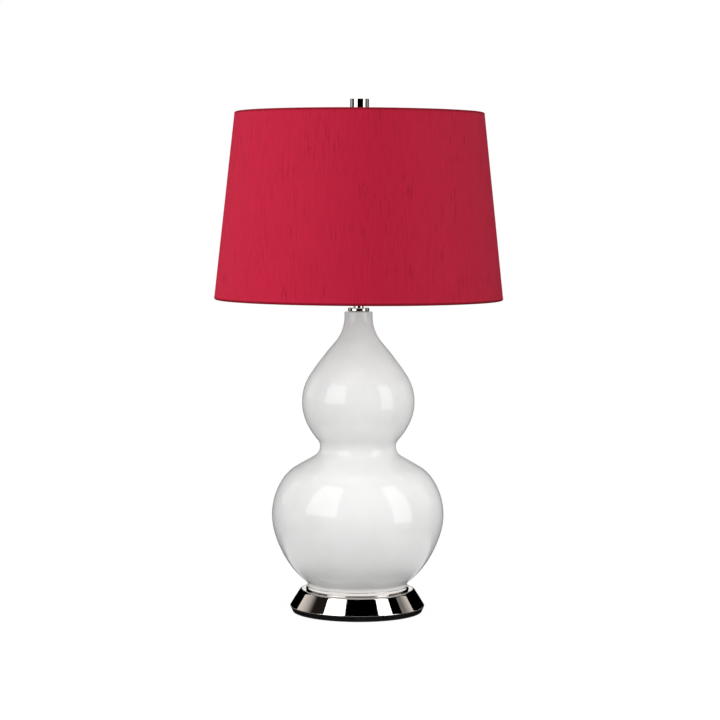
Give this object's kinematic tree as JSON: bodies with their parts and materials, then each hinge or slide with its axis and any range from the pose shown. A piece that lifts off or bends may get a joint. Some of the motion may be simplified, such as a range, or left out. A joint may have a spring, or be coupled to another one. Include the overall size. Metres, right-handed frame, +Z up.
{
  "type": "table lamp",
  "caption": "Double gourd ceramic table lamp on a polished metal foot, with a lampholder, detachable harp, tapered drum shade and screw finial.",
  "frame": {"origin": "centre of the underside of the felt pad, on the table", "axes": "+Z up along the lamp's axis; -Y is the front, where the switch knob points; the cord inlet is at the back (+Y)"},
  "size_m": [0.378, 0.3778, 0.6729],
  "materials": {
    "felt": "matt black wool felt",
    "cover_black": "satin black stove enamel",
    "nickel": "mirror-polished nickel plate",
    "iron": "raw casting",
    "zinc": "zinc-plated steel",
    "rubber": "matt",
    "glaze": "glossy white glaze",
    "harp_nickel": "satin nickel plate",
    "holder_metal": "satin nickel plate",
    "paperboard": "vulcanised fibre, plain",
    "phenolic": "dark phenolic moulding",
    "brass": "bare, satin",
    "knob_black": "glossy black moulding",
    "wire_metal": "white enamelled wire",
    "shade_lining": "white styrene lining",
    "shade_cloth": "crimson slub silk look, satin sheen"
  },
  "bodies": {
    "base": {"felt_pad": "felt", "bottom_cover": "cover_black", "base_shell": "nickel", "base_weight": "iron", "base_washer": "zinc", "base_lock_nut": "zinc", "cord_bush": "rubber", "foot_gasket": "rubber", "gourd_body": "glaze", "tie_rod": "zinc", "neck_cap": "nickel", "stem_sleeve": "nickel", "harp_saddle": "harp_nickel", "saddle_nut": "zinc", "harp_bow": "harp_nickel", "harp_stud": "harp_nickel", "socket_cap": "holder_metal", "socket_set_screw": "zinc", "socket_shell": "holder_metal", "socket_liner": "paperboard", "switch_body": "phenolic", "terminal_screws": "brass", "screw_shell": "brass", "centre_contact": "brass"},
    "ferrule_left": {"harp_ferrule_left": "harp_nickel"},
    "ferrule_right": {"harp_ferrule_right": "harp_nickel"},
    "switch": {"switch_spindle": "brass", "switch_knob": "knob_black"},
    "shade": {"shade_fitter": "wire_metal", "shade_top_ring": "wire_metal", "shade_bottom_ring": "wire_metal", "shade_liner": "shade_lining", "shade_fabric": "shade_cloth"},
    "finial_thread": {"finial_insert": "brass"},
    "finial": {"finial_cap": "nickel"}
  },
  "joints": [
    {"name": "shade_swivel", "type": "hinge", "parent": "base", "child": "shade", "pos_m": [0, 0, 0.6463], "axis": [0, 0, 1], "continuous": true},
    {"name": "finial_rise", "type": "slide", "parent": "base", "child": "finial_thread", "axis": [0, 0, 1], "range_m": [0, 0.00802]},
    {"name": "finial_turn", "type": "hinge", "parent": "finial_thread", "child": "finial", "pos_m": [0, 0, 0.66], "axis": [0, 0, 1], "range_deg": [0, 3060]},
    {"name": "ferrule_left_slide", "type": "slide", "parent": "base", "child": "ferrule_left", "axis": [0, 0, 1], "range_m": [0, 0.016]},
    {"name": "ferrule_right_slide", "type": "slide", "parent": "base", "child": "ferrule_right", "axis": [0, 0, 1], "range_m": [0, 0.016]},
    {"name": "switch_turn", "type": "hinge", "parent": "base", "child": "switch", "pos_m": [0, -0.025, 0.4375], "axis": [0, -1, 0], "continuous": true}
  ],
  "couplings": [
    {"joint": "finial_rise", "follows": "finial_turn", "m_per_rad": 0.00014972}
  ]
}
